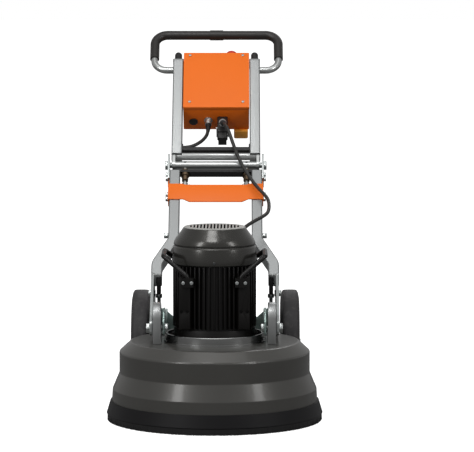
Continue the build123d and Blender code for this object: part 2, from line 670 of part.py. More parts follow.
# ================================================================ handle: control box
ESTOP = (44, -34)
START, STOP = (2, -34), (2, -66)
KNOB = (-44, -44)
with BuildPart(MAST) as control_box:
    block((-BOX_X + 0.3, BOX_X - 0.3), (BOX_S0 + 0.3, BOX_S1 - 2), (BOX_BACK, -8.2))
    fillet(control_box.edges().filter_by(lambda e: abs((e % 0).dot(MAST.z_dir)) > 0.99), 3)
    block((-BOX_X + 2.3, BOX_X - 2.3), (BOX_S0 + 2.3, BOX_S1 - 4), (BOX_BACK + 2, 0), mode=Mode.SUBTRACT)
    rod_s(10, BOX_S1 - 6, BOX_S1, *ESTOP, mode=Mode.SUBTRACT)
keep(control_box, "control_box")

with BuildPart(MAST) as box_cover:
    block((-BOX_X, BOX_X), (BOX_S0, BOX_S1), (-8.1, BOX_FRONT))
    fillet(box_cover.edges().filter_by(lambda e: abs((e % 0).dot(MAST.z_dir)) > 0.99), 3)
    block((-BOX_X + 2, BOX_X - 2), (BOX_S0 + 2, BOX_S1 - 2), (-9, BOX_FRONT - 2), mode=Mode.SUBTRACT)
keep(box_cover, "box_cover")

with BuildPart(MAST) as inverter:
    block((-60, 70), (655, 800), (-89.9, -25))
keep(inverter, "inverter")

BOX_FLOOR = BOX_S0 + 0.3
with BuildPart() as box_fittings:
    for x in (-77, 77):
        for s in (644, 827):
            with BuildSketch(Plane(origin=mast_point(x, s, BOX_FRONT), x_dir=(1, 0, 0),
                                   z_dir=MAST.z_dir)):
                Circle(4)
            extrude(amount=2.2)
    rod_s(12.5, BOX_FLOOR - 4, BOX_FLOOR, -66, -57)
    rod_s(12, BOX_FLOOR - 4, BOX_FLOOR, -23, -50, r_in=CABLE_R)
    rod_s(9.5, BOX_FLOOR - 20.3, BOX_FLOOR - 4, -23, -50, r_in=CABLE_R)
    rod_s(16, BOX_S1 - 2, BOX_S1 + 8, *ESTOP, r_in=9)
    for at in (START, STOP):
        rod_s(11, BOX_S1 - 2, BOX_S1 + 3, *at, r_in=7.5)
keep(box_fittings, "box_fittings")

EXIT_Y, EXIT_Z, EXIT_X = 600.0, 762.5, 18.0
LEVER_S, LEVER_V = 600.0, -62.0
with BuildPart(MAST) as cable_connector:
    rod_x(3, 0.2, 35.8, *mast_yz(LEVER_S, LEVER_V))
    block((3, 33), (566, BOX_FLOOR), (-76, -36))
    fillet(cable_connector.edges().filter_by(lambda e: abs((e % 0).dot(MAST.y_dir)) > 0.99), 4)
    block((6, 30), (545, 566), (-72, -40))
    with BuildSketch(Plane.XZ.offset(-EXIT_Y)):
        with Locations((EXIT_X, EXIT_Z)):
            Circle(9.5)
    extrude(amount=-42)
    with BuildSketch(Plane.XZ.offset(-EXIT_Y)):
        with Locations((EXIT_X, EXIT_Z)):
            Circle(CABLE_R + 0.4)
    extrude(amount=-20, mode=Mode.SUBTRACT)
keep(cable_connector, "cable_connector")

with BuildPart(MAST) as power_inlet:
    block((51, 92), (615, 690), (-124, BOX_BACK))
    fillet(power_inlet.edges().filter_by(lambda e: abs((e % 0).dot(MAST.z_dir)) > 0.99), 5)
keep(power_inlet, "power_inlet")

# ================================================================ handle: controls
with BuildPart() as estop_button:
    rod_s(8.95, BOX_S1 - 1, BOX_S1 + 18, *ESTOP)
    rod_s(17, BOX_S1 + 17, BOX_S1 + 32, *ESTOP)
    fillet(estop_button.edges().filter_by(GeomType.CIRCLE).group_by(Axis.Z)[-1], 7)
keep(estop_button, "estop_button")

for at, name in ((START, "start"), (STOP, "stop")):
    with BuildPart() as button:
        rod_s(7.45, BOX_S1 + 2, BOX_S1 + 7, *at)
    keep(button, f"{name}_button")

with BuildPart() as speed_knob:
    rod_s(15, BOX_S1 - 1.5, BOX_S1 + 14, *KNOB)
    rod_s(2, BOX_S1 + 14, BOX_S1 + 15, KNOB[0], KNOB[1] + 10)
keep(speed_knob, "speed_knob")

with BuildPart() as connector_lever:
    for x0 in (0.2, 33.3):
        rod_x(6, x0, x0 + 2.5, *mast_yz(LEVER_S, LEVER_V))
        with BuildSketch(Plane.YZ.offset(x0)):
            with BuildLine():
                Polyline(mast_yz(LEVER_S - 4, LEVER_V), mast_yz(LEVER_S + 4, LEVER_V),
                         mast_yz(LEVER_S + 4, LEVER_V - 34), mast_yz(LEVER_S - 4, LEVER_V - 34),
                         close=True)
            make_face()
        extrude(amount=2.5)
    rod_x(3.5, 0.2, 35.8, *mast_yz(LEVER_S, LEVER_V - 31))
    rod_x(3 + RUN, 0, 36, *mast_yz(LEVER_S, LEVER_V), mode=Mode.SUBTRACT)
keep(connector_lever, "connector_lever")

# ================================================================ cables
MOTOR_CABLE_UPPER = [
    (18, 600, 762.5), (21, 566, 765), (33, 535, 752), (46, 508, 716), (62, 468, 674),
    (84, 428, 636), (110, 390, 601), (134, 359, 578), (149, 331, 562.5), (149, 303, 548.5),
]
MOTOR_CABLE_LOWER = [
    (149, 303, 548.5), (149, 275, 534.5), (133, 246, 524), (107, 212, 514), (84, 182, 502),
    (64, 158, 486), (46, 144, 468), (38, 139, 446), (36, 138, 425),
]
CONTROL_CABLE = [
    (-23, 639.0, 753.3), (-23, 619, 733.3), (-33, 600, 717), (-49, 580, 705), (-68, 566, 697),
    (-84, 558.5, 694.5), (-94.6, 555, 694),
]
for label, route in (
    ("motor_cable_upper", MOTOR_CABLE_UPPER),
    ("motor_cable_lower", MOTOR_CABLE_LOWER),
    ("control_cable", CONTROL_CABLE),
):
    radii = arc_radii(route)
    print(label, "radii", [round(r) for r in radii])
    with BuildPart() as cable:
        with BuildLine() as cable_path:
            FilletPolyline(*route, radius=radii)
        with BuildSketch(Plane(origin=cable_path.line @ 0, z_dir=cable_path.line % 0)):
            Circle(CABLE_R)
        sweep()
    length = sum(edge.length for edge in cable_path.edges())
    print(label, "length", round(length), "volume share",
          round(cable.part.volume / (length * math.pi * CABLE_R**2), 4))
    keep(cable, label)

os.makedirs("parts", exist_ok=True)
for part in made:
    name = part.label
    placed = part.moved(Location((0, HEAD_Y, 0)))
    placed.label = name
    export_step(placed, f"parts/{name}.step")
print(len(made), "nodes")
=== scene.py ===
"""Looks for the planetary floor grinder: camera, lights, cables, detailed pieces and materials."""
import json
import math

import bmesh
import bpy
import numpy as np
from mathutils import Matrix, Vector

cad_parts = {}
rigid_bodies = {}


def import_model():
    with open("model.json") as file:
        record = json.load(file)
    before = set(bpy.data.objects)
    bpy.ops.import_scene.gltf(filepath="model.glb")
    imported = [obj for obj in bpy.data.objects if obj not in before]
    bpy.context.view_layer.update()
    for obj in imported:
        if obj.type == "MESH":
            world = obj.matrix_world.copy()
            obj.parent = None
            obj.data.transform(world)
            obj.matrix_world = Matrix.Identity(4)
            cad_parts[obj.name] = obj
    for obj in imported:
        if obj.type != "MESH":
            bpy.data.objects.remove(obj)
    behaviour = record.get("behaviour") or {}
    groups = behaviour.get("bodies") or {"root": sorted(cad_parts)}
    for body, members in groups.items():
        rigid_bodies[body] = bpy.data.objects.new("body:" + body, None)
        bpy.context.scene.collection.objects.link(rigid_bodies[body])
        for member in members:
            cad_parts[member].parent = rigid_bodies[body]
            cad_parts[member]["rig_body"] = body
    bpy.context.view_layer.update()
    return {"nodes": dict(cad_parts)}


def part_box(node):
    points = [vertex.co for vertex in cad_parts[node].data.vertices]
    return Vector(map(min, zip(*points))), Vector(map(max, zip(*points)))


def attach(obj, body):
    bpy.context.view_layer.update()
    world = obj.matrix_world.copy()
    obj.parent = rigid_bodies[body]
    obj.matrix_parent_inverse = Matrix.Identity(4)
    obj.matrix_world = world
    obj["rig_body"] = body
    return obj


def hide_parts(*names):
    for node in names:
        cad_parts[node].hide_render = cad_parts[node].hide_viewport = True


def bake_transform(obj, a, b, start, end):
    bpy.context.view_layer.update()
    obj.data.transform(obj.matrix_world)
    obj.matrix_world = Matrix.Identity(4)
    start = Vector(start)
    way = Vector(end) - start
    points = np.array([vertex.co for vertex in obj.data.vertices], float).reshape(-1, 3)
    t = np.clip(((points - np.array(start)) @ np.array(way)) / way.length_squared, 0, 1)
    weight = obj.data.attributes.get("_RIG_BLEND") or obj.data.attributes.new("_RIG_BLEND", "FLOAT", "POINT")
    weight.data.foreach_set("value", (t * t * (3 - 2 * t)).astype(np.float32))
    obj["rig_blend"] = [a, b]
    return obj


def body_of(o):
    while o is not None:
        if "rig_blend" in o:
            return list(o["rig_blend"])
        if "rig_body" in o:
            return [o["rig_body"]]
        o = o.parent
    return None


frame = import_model()

MM = 0.001
HEAD_Y = -286.0                # the head's axis along y, in millimetres
CABLE_R = 5.0
LEAN = math.radians(45)        # how far the mast leans back
FOOT = Vector((0, 178, 363))   # where the mast's front face starts, from the head's axis
UP_MAST = Vector((0, math.cos(LEAN), math.sin(LEAN)))
OUT = Vector((0, -math.sin(LEAN), math.cos(LEAN)))

CAMERA_PLACE = (60, -7500, 1220)
CAMERA_DOWN = 5.331            # degrees below level
LENS = 214.0
SENSOR = 36


def at(x, y, z):
    """A point laid out from the head's axis in millimetres, in the row frame in metres."""
    return Vector((x, y + HEAD_Y, z)) * MM


# ------------------------------------------------------------------ camera
scene = bpy.context.scene
camera_data = bpy.data.cameras.new("camera")
camera = bpy.data.objects.new("camera", camera_data)
scene.collection.objects.link(camera)
camera_data.sensor_width = SENSOR
camera_data.lens = LENS
camera_data.clip_end = 60
camera.location = at(*CAMERA_PLACE)
camera.rotation_euler = (math.radians(90 - CAMERA_DOWN), 0, 0)
scene.camera = camera
scene.view_settings.view_transform = "Standard"


# ------------------------------------------------------------------ colours and materials
def linear(code):
    """A hexadecimal screen colour as linear light."""
    values = [int(code[i:i + 2], 16) / 255 for i in (1, 3, 5)]
    return [v / 12.92 if v <= 0.04045 else ((v + 0.055) / 1.055) ** 2.4 for v in values] + [1.0]


def node(tree, kind, settings=None, links=None):
    """Adds a shader node, sets its properties or inputs, and links (input name, source socket)."""
    new = tree.nodes.new("ShaderNode" + kind)
    for key, value in (settings or {}).items():
        if isinstance(key, int) or key in new.inputs:
            new.inputs[key].default_value = value
        else:
            setattr(new, key, value)
    for key, source in (links or {}).items():
        tree.links.new(source, new.inputs[key])
    return new


SLOW = 111.11         # millimetres across one patch of slow colour drift
DUST_SPOT = 16.667    # millimetres across one dusty spot
DUST = "#8f8b85"


def material(name, colour, rough=0.5, metal=0.0, coat=0.0, vary=0.12, grain=2.8571, stretch=(1, 1, 1),
             bump=0.05, bump_deep=0.3, rough_vary=0.12, sheen=0.0, dust=0.0, shine=0.5):
    """A surface with slow colour drift, fine grain in its gloss and relief, and optional dust spots.

    The tint and the gloss follow 0.6 of the slow noise plus 0.4 of the fine noise. grain is the size of one
    grain and bump_deep the depth of its relief, both in millimetres, and stretch packs the grain along an axis.
    Grains are drawn coarser than the real ones, which would be too fine to show.
    """
    made = bpy.data.materials.new(name)
    made.use_nodes = True
    tree = made.node_tree
    tree.nodes.clear()
    place = node(tree, "TexCoord")
    scaled = node(tree, "Mapping", {"Scale": stretch}, {"Vector": place.outputs["Object"]})
    slow = node(tree, "TexNoise", {"Scale": 1 / (SLOW * MM), "Detail": 4.0, "Roughness": 0.55},
                {"Vector": place.outputs["Object"]})
    fine = node(tree, "TexNoise", {"Scale": 1 / (grain * MM), "Detail": 3.0, "Roughness": 0.6},
                {"Vector": scaled.outputs[0]})
    base = linear(colour)
    dark = [c * (1 - vary) for c in base[:3]] + [1.0]
    light = [min(1.0, c * (1 + vary)) for c in base[:3]] + [1.0]
    both = node(tree, "Math", {"operation": "MULTIPLY_ADD", 1: 0.6},
                {0: slow.outputs["Fac"], 2: node(tree, "Math", {"operation": "MULTIPLY", 1: 0.4},
                                                {0: fine.outputs["Fac"]}).outputs[0]})
    tint = node(tree, "Mix", {"data_type": "RGBA", 6: dark, 7: light}, {0: both.outputs[0]})
    colour_out = tint.outputs[2]
    if dust > 0:
        patch = node(tree, "TexNoise", {"Scale": 1 / (DUST_SPOT * MM), "Detail": 5.0, "Roughness": 0.7},
                     {"Vector": place.outputs["Object"]})
        mask = node(tree, "MapRange", {"From Min": 0.5, "From Max": 0.8, "To Min": 0.0, "To Max": dust},
                    {"Value": patch.outputs["Fac"]})
        tint = node(tree, "Mix", {"data_type": "RGBA", 7: linear(DUST)},
                    {0: mask.outputs[0], 6: colour_out})
        colour_out = tint.outputs[2]
    gloss = node(tree, "MapRange",
                 {"To Min": max(0.02, rough - rough_vary), "To Max": min(1.0, rough + rough_vary)},
                 {"Value": both.outputs[0]})
    relief = node(tree, "Bump", {"Strength": bump, "Distance": bump_deep * MM}, {"Height": fine.outputs["Fac"]})
    surface = node(tree, "BsdfPrincipled", {"Metallic": metal, "Coat Weight": coat, "Coat Roughness": 0.12,
                                            "Sheen Weight": sheen, "Specular IOR Level": shine},
                   {"Base Color": colour_out, "Roughness": gloss.outputs[0], "Normal": relief.outputs[0]})
    out = node(tree, "OutputMaterial", None, {"Surface": surface.outputs[0]})
    out.is_active_output = True
    return made


LOOKS = {
    # Pressed and matt: no mirror of the orange bar in the slots' edges.
    "grille": material("matt grey pressed steel grille", "#a3a3a0", 0.62, 0.3, vary=0.05, bump=0.02,
                       grain=1.1111),
    # Sprayed: a soft, broad highlight along each step.
    "shroud_paint": material("satin dark grey shroud paint", "#42413e", 0.36, 0.25, 0.25, bump=0.04,
                             grain=1.1111),
    # Turned and polished: sharp bright and dark bands round it.
    "collar": material("polished steel collar", "#a8a9a8", 0.22, 1.0, stretch=(1, 1, 8), grain=3.3333),
    # Moulded rubber: nearly no highlight.
    "skirt": material("matt black rubber skirt", "#0d0c0e", 0.5, vary=0.2, bump=0.08, grain=1.4286,
                      shine=0.22),
    # Extruded strands packed upright: a dark, broken edge at the floor.
    "bristle": material("black nylon bristles", "#0b0a0c", 0.55, vary=0.3, bump=0.3,
                        stretch=(1, 1, 0.08), grain=1.1111),
    # Sprayed over castings: black fins with only their edges lit.
    "motor": material("satin black motor paint", "#0a0807", 0.4, 0.0, 0.0, vary=0.25, bump=0.08,
                      grain=1.6667, shine=0.3),
    # Pressed and lacquered: one clear highlight over the dome.
    "fan": material("satin dark grey pressed steel", "#343330", 0.28, 0.5, 0.4, bump=0.03, grain=1.1111),
    # Sand cast, then blasted: pale and faintly grainy.
    "cast": material("satin cast aluminium", "#a3a5a5", 0.42, 0.85, vary=0.1, bump=0.15, grain=2.0),
    # Plated: cool and bright with soft patches.
    "zinc": material("bright zinc plated steel", "#b8bcbb", 0.32, 0.9, vary=0.08, bump=0.05, grain=3.8462),
    # Drawn and polished: long unbroken highlights.
    "bright_tube": material("bright drawn steel tube", "#bcbebd", 0.30, 0.92, vary=0.04,
                            stretch=(6, 1, 1), bump=0.01, grain=5.0, rough_vary=0.03),
    # Plated, then passivated: a faint green cast.
    "green_zinc": material("pale passivated zinc", "#a9bdb8", 0.36, 0.75, vary=0.1, bump=0.05, grain=4.5455),
    # Drawn: fine lines along its length that soften the highlight.
    "tube": material("satin drawn aluminium tube", "#999b9b", 0.36, 0.9, vary=0.08, stretch=(6, 1, 1),
                     grain=2.5),
    # Powder coated: even colour with a fine orange peel.
    "orange": material("semi-gloss orange powder coat", "#ee7014", 0.45, 0.0, 0.0, shine=0.3, vary=0.05,
                       bump=0.10, grain=0.7143),
    # Moulded rubber: dull, with scattered dusty spots.
    "tyre": material("dark grey solid rubber tyre", "#262426", 0.62, vary=0.14, bump=0.15, grain=2.381,
                     dust=0.15),
    # Sprayed: flat grey with a weak highlight.
    "rim": material("grey painted steel rim", "#8d8f8f", 0.4, 0.4, vary=0.1, bump=0.05),
    # Moulded foam: leathery, with small broken highlights.
    "foam": material("black vinyl foam grip", "#211e1c", 0.42, vary=0.18, bump=0.35, bump_deep=0.5,
                     grain=0.9091),
    # Moulded: an even black with a fine texture.
    "plastic": material("matt black moulded plastic", "#1b1a1a", 0.5, vary=0.15, bump=0.12, grain=0.8333),
    # Turned and burnished: a dim, warm grey.
    "burnished": material("burnished dark steel", "#6b5a48", 0.34, 0.9, vary=0.1, stretch=(1, 6, 1)),
    # Extruded: a thin highlight along its length.
    "cable": material("satin black cable sheath", "#232220", 0.42, vary=0.12, bump=0.05, grain=2.0),
    # Moulded: deep black and dull.
    "rubber": material("black moulded rubber", "#171616", 0.6, vary=0.15, bump=0.1),
    # Moulded gloss plastic: a bright spot of colour.
    "amber": material("amber plastic inlet", "#f5a53a", 0.32, 0.0, 0.2, vary=0.06),
    # Moulded gloss plastic: a bright spot of colour.
    "yellow": material("yellow moulded plastic", "#e3b51c", 0.35, 0.0, 0.2, vary=0.05),
    # Moulded and polished: a small sharp highlight.
    "red": material("red gloss plastic", "#c0221b", 0.28, 0.0, 0.4, vary=0.05),
    # Moulded and polished: a small sharp highlight.
    "green": material("green gloss plastic", "#1f8f42", 0.28, 0.0, 0.4, vary=0.05),
    # Machined and oiled: dark, with a wide sheen.
    "steel_dark": material("oiled machined steel", "#5b5c5d", 0.38, 0.95, vary=0.12, grain=3.3333),
    # Sintered: rough and grainy with no highlight.
    "segment": material("sintered diamond segment", "#5f5a50", 0.75, 0.4, vary=0.25, bump=0.6, grain=1.1111),
    # Ground and polished: nearly a mirror.
    "bearing": material("polished bearing steel", "#c4c6c6", 0.18, 1.0, vary=0.05),
    # Moulded rubber: flat black.
    "belt": material("ribbed drive belt", "#141414", 0.7, vary=0.2, bump=0.2),
}
WEAR = {
    "shroud": "shroud_paint", "motor_collar": "collar", "skirt_band": "skirt", "brush_strip": "bristle",
    "dust_port": "zinc", "base_plate": "steel_dark", "head_bearings": "bearing", "motor_housing": "motor",
    "stator": "steel_dark", "fan_cover": "fan", "terminal_box": "motor", "lift_handles": "motor",
    "pivot_lugs": "cast", "head_bolts": "zinc", "rotor": "steel_dark", "cooling_fan": "plastic",
    "drive_pulley": "steel_dark", "carrier_drum": "steel_dark", "spindle_bearings": "bearing",
    "drive_belts": "belt", "lower_mast_tubes": "tube", "side_plates": "zinc", "subframe": "green_zinc",
    "wheel_axle": "zinc", "front_crossbar": "orange", "pivot_bracket": "zinc", "plunger_bodies": "burnished",
    "frame_bolts": "zinc", "rubber_buffers": "rubber", "tyre_left": "tyre", "tyre_right": "tyre",
    "wheel_hub_left": "rim", "wheel_hub_right": "rim", "lock_plunger_left": "zinc",
    "lock_plunger_right": "zinc", "upper_mast": "tube", "bump_stops": "rubber", "pivot_tube": "bright_tube",
    "handlebar": "bright_tube", "handle_grips": "foam", "control_box": "orange", "box_cover": "orange",
    "inverter": "plastic", "box_fittings": "zinc", "cable_connector": "plastic", "power_inlet": "amber",
    "estop_button": "red", "start_button": "green", "stop_button": "red", "speed_knob": "plastic",
    "connector_lever": "zinc",
}
for index in (1, 2, 3):
    WEAR[f"satellite_{index}"] = "steel_dark"
    WEAR[f"diamond_tools_{index}"] = "segment"


def dress(obj, look):
    """Gives every material slot of an object one finish."""
    if not obj.material_slots:
        obj.data.materials.append(LOOKS[look])
    for slot in obj.material_slots:
        slot.material = LOOKS[look]


for name, look in WEAR.items():
    dress(frame["nodes"][name], look)


# ------------------------------------------------------------------ cables
def route_curve(name, points):
    """A smooth NURBS line through the control points, with no thickness."""
    curve = bpy.data.curves.new(name, "CURVE")
    curve.dimensions = "3D"
    spline = curve.splines.new("NURBS")
    spline.points.add(len(points) - 1)
    for target, point in zip(spline.points, points):
        target.co = (*point, 1.0)
    spline.order_u = 3
    spline.use_endpoint_u = True
    curve.resolution_u = 24
    line = bpy.data.objects.new(name, curve)
    scene.collection.objects.link(line)
    return line


def cable(name, cad_node, points, body=None, bend=None, still=-1):
    """A cable as a tube round its smooth line, riding on one body or bending between two."""
    points = [at(*p) for p in points]
    line = route_curve(name + "_line", points)
    bpy.context.view_layer.update()
    path_mesh = bpy.data.meshes.new_from_object(line)
    path = [v.co.copy() for v in path_mesh.vertices]
    line.data.bevel_depth = CABLE_R * MM
    line.data.bevel_resolution = 7
    line.data.use_fill_caps = True
    bpy.context.view_layer.update()
    tube_mesh = bpy.data.meshes.new_from_object(line.evaluated_get(bpy.context.evaluated_depsgraph_get()))
    for face in tube_mesh.polygons:
        face.use_smooth = True
    tube = bpy.data.objects.new(name, tube_mesh)
    scene.collection.objects.link(tube)
    bpy.data.objects.remove(line)
    bpy.data.meshes.remove(path_mesh)
    dress(tube, "cable")
    if bend:
        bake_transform(tube, *bend, start=points[0], end=points[still])
    else:
        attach(tube, body)
    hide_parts(cad_node)
    return path


upper_path = cable("motor_lead_upper", "motor_cable_upper", [
    (18, 600, 762.5), (21, 566, 765), (33, 535, 752), (46, 508, 716), (62, 468, 674),
    (84, 428, 636), (110, 390, 601), (134, 359, 578), (149, 331, 562.5), (149, 303, 548.5),
], bend=("handle", "frame"), still=4)
lower_path = cable("motor_lead_lower", "motor_cable_lower", [
    (149, 303, 548.5), (149, 275, 534.5), (133, 246, 524), (107, 212, 514), (84, 182, 502),
    (64, 158, 486), (46, 144, 468), (38, 139, 446), (36, 138, 425),
], bend=("frame", "head"))
control_path = cable("control_lead", "control_cable", [
    (-23, 639.0, 753.3), (-23, 619, 733.3), (-33, 600, 717), (-49, 580, 705), (-68, 566, 697),
    (-84, 558.5, 694.5), (-94.6, 555, 694),
], body="handle")


# ------------------------------------------------------------------ detailed pieces
def link(name, mesh):
    """Puts a mesh into the scene as an object at the origin."""
    made = bpy.data.objects.new(name, mesh)
    scene.collection.objects.link(made)
    return made


def smooth(mesh, angle=35):
    """Smooth shading, kept sharp where faces meet at more than the angle."""
    for face in mesh.polygons:
        face.use_smooth = True
    mesh.set_sharp_from_angle(angle=math.radians(angle))


def eased(cad_node, width, looks, pick=None, segments=2, angle=40):
    """A copy of a CAD node with its hard edges rounded, and one finish per picked group of faces."""
    source = frame["nodes"][cad_node]
    work = bmesh.new()
    work.from_mesh(source.data)
    bmesh.ops.remove_doubles(work, verts=work.verts, dist=2e-6)
    bmesh.ops.dissolve_limit(work, angle_limit=math.radians(0.4), verts=work.verts, edges=work.edges)
    mesh = bpy.data.meshes.new(cad_node + "_eased")
    work.to_mesh(mesh)
    work.free()
    mesh.transform(source.matrix_world)
    piece = link(cad_node + "_eased", mesh)
    bevel = piece.modifiers.new("ease", "BEVEL")
    bevel.width = width * MM
    bevel.segments = segments
    bevel.limit_method = "ANGLE"
    bevel.angle_limit = math.radians(angle)
    bevel.use_clamp_overlap = True
    bpy.context.view_layer.update()
    final = bpy.data.meshes.new_from_object(piece.evaluated_get(bpy.context.evaluated_depsgraph_get()))
    piece.modifiers.clear()
    piece.data = final
    final.materials.clear()
    for look in looks:
        final.materials.append(LOOKS[look])
    smooth(final)
    if pick:
        for face in final.polygons:
            face.material_index = pick(face.center)
    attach(piece, body_of(source)[0])
    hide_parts(cad_node)
    return piece


def solid(name, points, faces, look, body):
    """A closed piece from an array of points in millimetres and a list of faces, turned to face outwards."""
    mesh = bpy.data.meshes.new(name)
    mesh.from_pydata((points.reshape(-1, 3) * MM).tolist(), [], faces)
    work = bmesh.new()
    work.from_mesh(mesh)
    bmesh.ops.recalc_face_normals(work, faces=work.faces)
    work.to_mesh(mesh)
    work.free()
    smooth(mesh)
    piece = link(name, mesh)
    dress(piece, look)
    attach(piece, body)
    return piece


def wall(index):
    """Four-sided faces between each ring of point numbers and the next; every ring closes on itself."""
    low, high = index[:-1], index[1:]
    return np.stack([low, np.roll(low, -1, 1), np.roll(high, -1, 1), high], -1).reshape(-1, 4).tolist()


def turned_piece(name, outline, body, look, centre, height, steps):
    """A closed outline of (radius, distance along) points turned round a line through centre, along x.

    Point (turn, k) is distance k along the line, and radius k from it at that turn's cosine and sine.
    """
    radius, along = np.array(outline, float).T
    turn = np.arange(steps) * 2 * math.pi / steps
    one, two = radius * np.cos(turn)[:, None], radius * np.sin(turn)[:, None]
    points = np.stack([np.broadcast_to(along, one.shape) + height, one + centre[0] + HEAD_Y, two + centre[1]], -1)
    index = np.arange(steps * len(outline)).reshape(steps, -1)
    after = np.roll(index, -1, 0)
    faces = np.stack([index, after, np.roll(after, -1, 1), np.roll(index, -1, 1)], -1)
    return solid(name, points, faces.reshape(-1, 4).tolist(), look, body)


SCREW_SIDES = 24
SCREW_DOME = ((1.0, 0.0), (1.0, 0.45), (0.93, 0.78), (0.72, 0.96), (0.55, 1.0))   # shares of radius and height
SCREW_RECESS = 0.45     # the hexagon's size, as a share of the radius
SCREW_FLOOR = 0.35      # the recess's floor, as a share of the height


def head_screw(name, places, body, look, radius, tall):
    """Domed socket screws at (centre, direction) pairs in the row frame.

    Each is rings of points at the dome's shares of radius and height, then two rings on a hexagon, whose
    reach is its flat's distance over the cosine of the angle from the flat's middle.
    """
    step = np.arange(SCREW_SIDES)
    turn = step * 2 * math.pi / SCREW_SIDES
    share, height = np.array(SCREW_DOME).T
    hexagon = SCREW_RECESS * math.cos(math.pi / 6) / np.cos((step % 4 - 2) * math.pi / 12)
    reach = radius * np.concatenate([np.repeat(share[:, None], SCREW_SIDES, 1), [hexagon, hexagon]])
    height = tall * np.concatenate([height, [1.0, SCREW_FLOOR]])
    rings = np.stack([reach * np.cos(turn), reach * np.sin(turn),
                      np.repeat(height[:, None], SCREW_SIDES, 1)], -1)
    index = np.arange(reach.size).reshape(reach.shape)
    screws, faces = [], []
    for number, (centre, direction) in enumerate(places):
        axes = np.array(Vector(direction).normalized().to_track_quat("Z", "Y").to_matrix())
        screws.append(rings @ axes.T + np.array(centre) / MM)
        own = index + number * index.size
        faces += wall(own) + [own[-1].tolist(), own[0][::-1].tolist()]
    return solid(name, np.stack(screws), faces, look, body)


def mast_s(point):
    """How far up the mast a point lies and how far out of its front face, in millimetres."""
    flat = Vector((0, point.y / MM - HEAD_Y, point.z / MM)) - FOOT
    return flat.dot(UP_MAST), flat.dot(OUT)


GRILLE_Z = 517.5       # the fan cover's pierced top starts here
BRACKET_X = 130.5      # the pivot bracket's cross plate lies inside this, and below PLATE_S up the mast
PLATE_S = 399
TUBE_X = 95.5          # the mast's two long tubes lie outside this
CROSS_S = 468          # cross pieces further up the mast than this are black plastic, the others bright


def bracket_finish(c):
    """Black plastic for the pivot bracket's cross plate, zinc for the rest."""
    return 1 if abs(c.x) < BRACKET_X * MM and mast_s(c)[0] < PLATE_S else 0


def mast_finish(c):
    """Satin for the long tubes, black plastic for the upper cross pieces, bright for the lower ones."""
    if abs(c.x) > TUBE_X * MM:
        return 0
    return 1 if mast_s(c)[0] > CROSS_S else 2


eased("side_plates", 1.0, ["zinc"])
eased("subframe", 0.8, ["green_zinc"])
eased("pivot_lugs", 1.6, ["cast"])
eased("front_crossbar", 0.7, ["orange"])
eased("terminal_box", 1.2, ["motor"])
eased("power_inlet", 2.0, ["amber"])
eased("control_box", 0.6, ["orange"])
eased("box_cover", 1.2, ["orange"], segments=3)
eased("rubber_buffers", 1.5, ["rubber"])
eased("head_bolts", 0.7, ["zinc"])
eased("frame_bolts", 0.8, ["zinc"])
eased("wheel_axle", 0.8, ["zinc"])
eased("speed_knob", 1.2, ["plastic"])
eased("motor_housing", 0.5, ["motor"])
eased("fan_cover", 0.5, ["fan", "grille"], pick=lambda c: 1 if c.z > GRILLE_Z * MM else 0, segments=1)
eased("cable_connector", 1.0, ["plastic"])
eased("pivot_bracket", 0.9, ["zinc", "plastic"], pick=bracket_finish)
eased("upper_mast", 0.5, ["tube", "plastic", "bright_tube"], pick=mast_finish)


# ------------------------------------------------------------------ strain reliefs
def sleeve(name, path, profile, body, look, sides=32):
    """A tapered sleeve round a lead, from (distance along, radius) pairs.

    Each ring's centre is the path's point at that distance, and the ring lies square to the path there: the
    radius times the cosine and sine of the turn, along two directions at right angles to the path.
    """
    line = np.array([tuple(p) for p in path], float) / MM
    step = np.linalg.norm(np.diff(line, axis=0), axis=1)
    along = np.concatenate([[0.0], np.cumsum(step)])
    far, radius = np.array(profile, float).T
    centre = np.stack([np.interp(far, along, line[:, k]) for k in range(3)], -1)
    ahead = np.stack([np.interp(far + 1.0, along, line[:, k]) for k in range(3)], -1) - centre
    ahead /= np.linalg.norm(ahead, axis=1)[:, None]
    across = np.cross(ahead, np.array([0.31, 0.17, 0.93]))
    across /= np.linalg.norm(across, axis=1)[:, None]
    third = np.cross(ahead, across)
    turn = np.arange(sides) * 2 * math.pi / sides
    rings = centre[:, None] + radius[:, None, None] * (
        across[:, None] * np.cos(turn)[None, :, None] + third[:, None] * np.sin(turn)[None, :, None])
    index = np.arange(len(profile) * sides).reshape(-1, sides)
    faces = wall(index) + [index[0].tolist(), index[-1][::-1].tolist()]
    return solid(name, rings, faces, look, body)


RIBS = 6
RIB_STEP = 4.2
ribbed = [(0.0, 8.2)]
for rib in range(RIBS):
    start = RIB_STEP * rib
    ribbed += [(3.0 + start, 8.0 - 0.42 * rib), (3.6 + start, 7.2 - 0.36 * rib),
               (5.4 + start, 7.1 - 0.36 * rib), (6.0 + start, 7.7 - 0.42 * rib)]
ribbed += [(30.0, 5.5), (31.0, 5.0)]
gland_nut = [(0.0, 9.4), (0.2, 11.0), (1.2, 11.6), (7.0, 11.6), (8.2, 10.8), (9.5, 9.0), (10.5, 8.6)]
sleeve("connector_gland_nut", upper_path, gland_nut, "handle", "bearing")
sleeve("upper_lead_relief", upper_path, [(d + 9.0, r) for d, r in ribbed], "handle", "rubber")
sleeve("lower_lead_relief", lower_path[::-1], ribbed, "head", "rubber")
sleeve("control_lead_relief", control_path, [(d * 0.8, r) for d, r in ribbed], "handle", "rubber")

